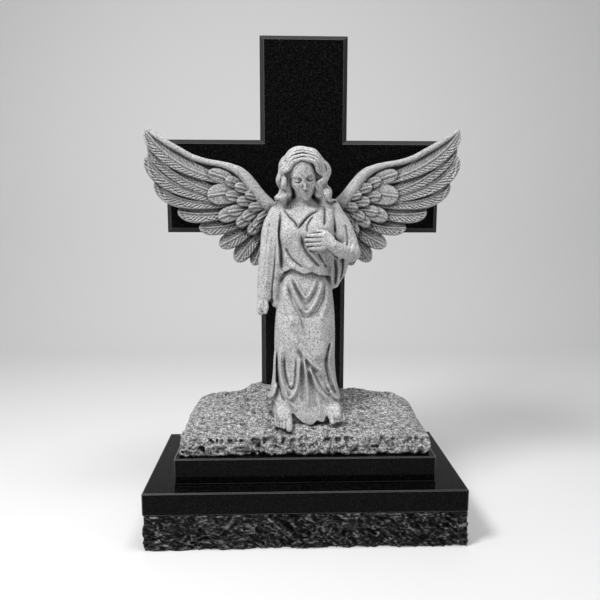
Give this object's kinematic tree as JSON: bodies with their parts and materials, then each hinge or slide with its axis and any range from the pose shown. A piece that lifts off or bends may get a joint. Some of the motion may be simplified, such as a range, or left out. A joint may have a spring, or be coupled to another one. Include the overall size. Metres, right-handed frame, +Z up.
{
  "type": "angel headstone",
  "caption": "Cemetery headstone: a grey granite angel on rough rock before a polished black granite cross, on a stepped black granite base.",
  "frame": {"origin": "centre of the foot block's underside, on the ground", "axes": "+Z up, -Y towards the viewer in front of the angel, +X to the viewer's right"},
  "size_m": [0.93, 0.467, 1.4589],
  "materials": {
    "polished_granite": "polished black granite",
    "pitched_granite": "rock-pitched black granite",
    "grey_granite": "honed speckled light grey granite"
  },
  "bodies": {
    "root": {"rock_pitched_foot": "pitched_granite", "base_slab": "polished_granite", "plinth": "polished_granite", "cross": "polished_granite", "angel_carving": "grey_granite"}
  },
  "joints": []
}
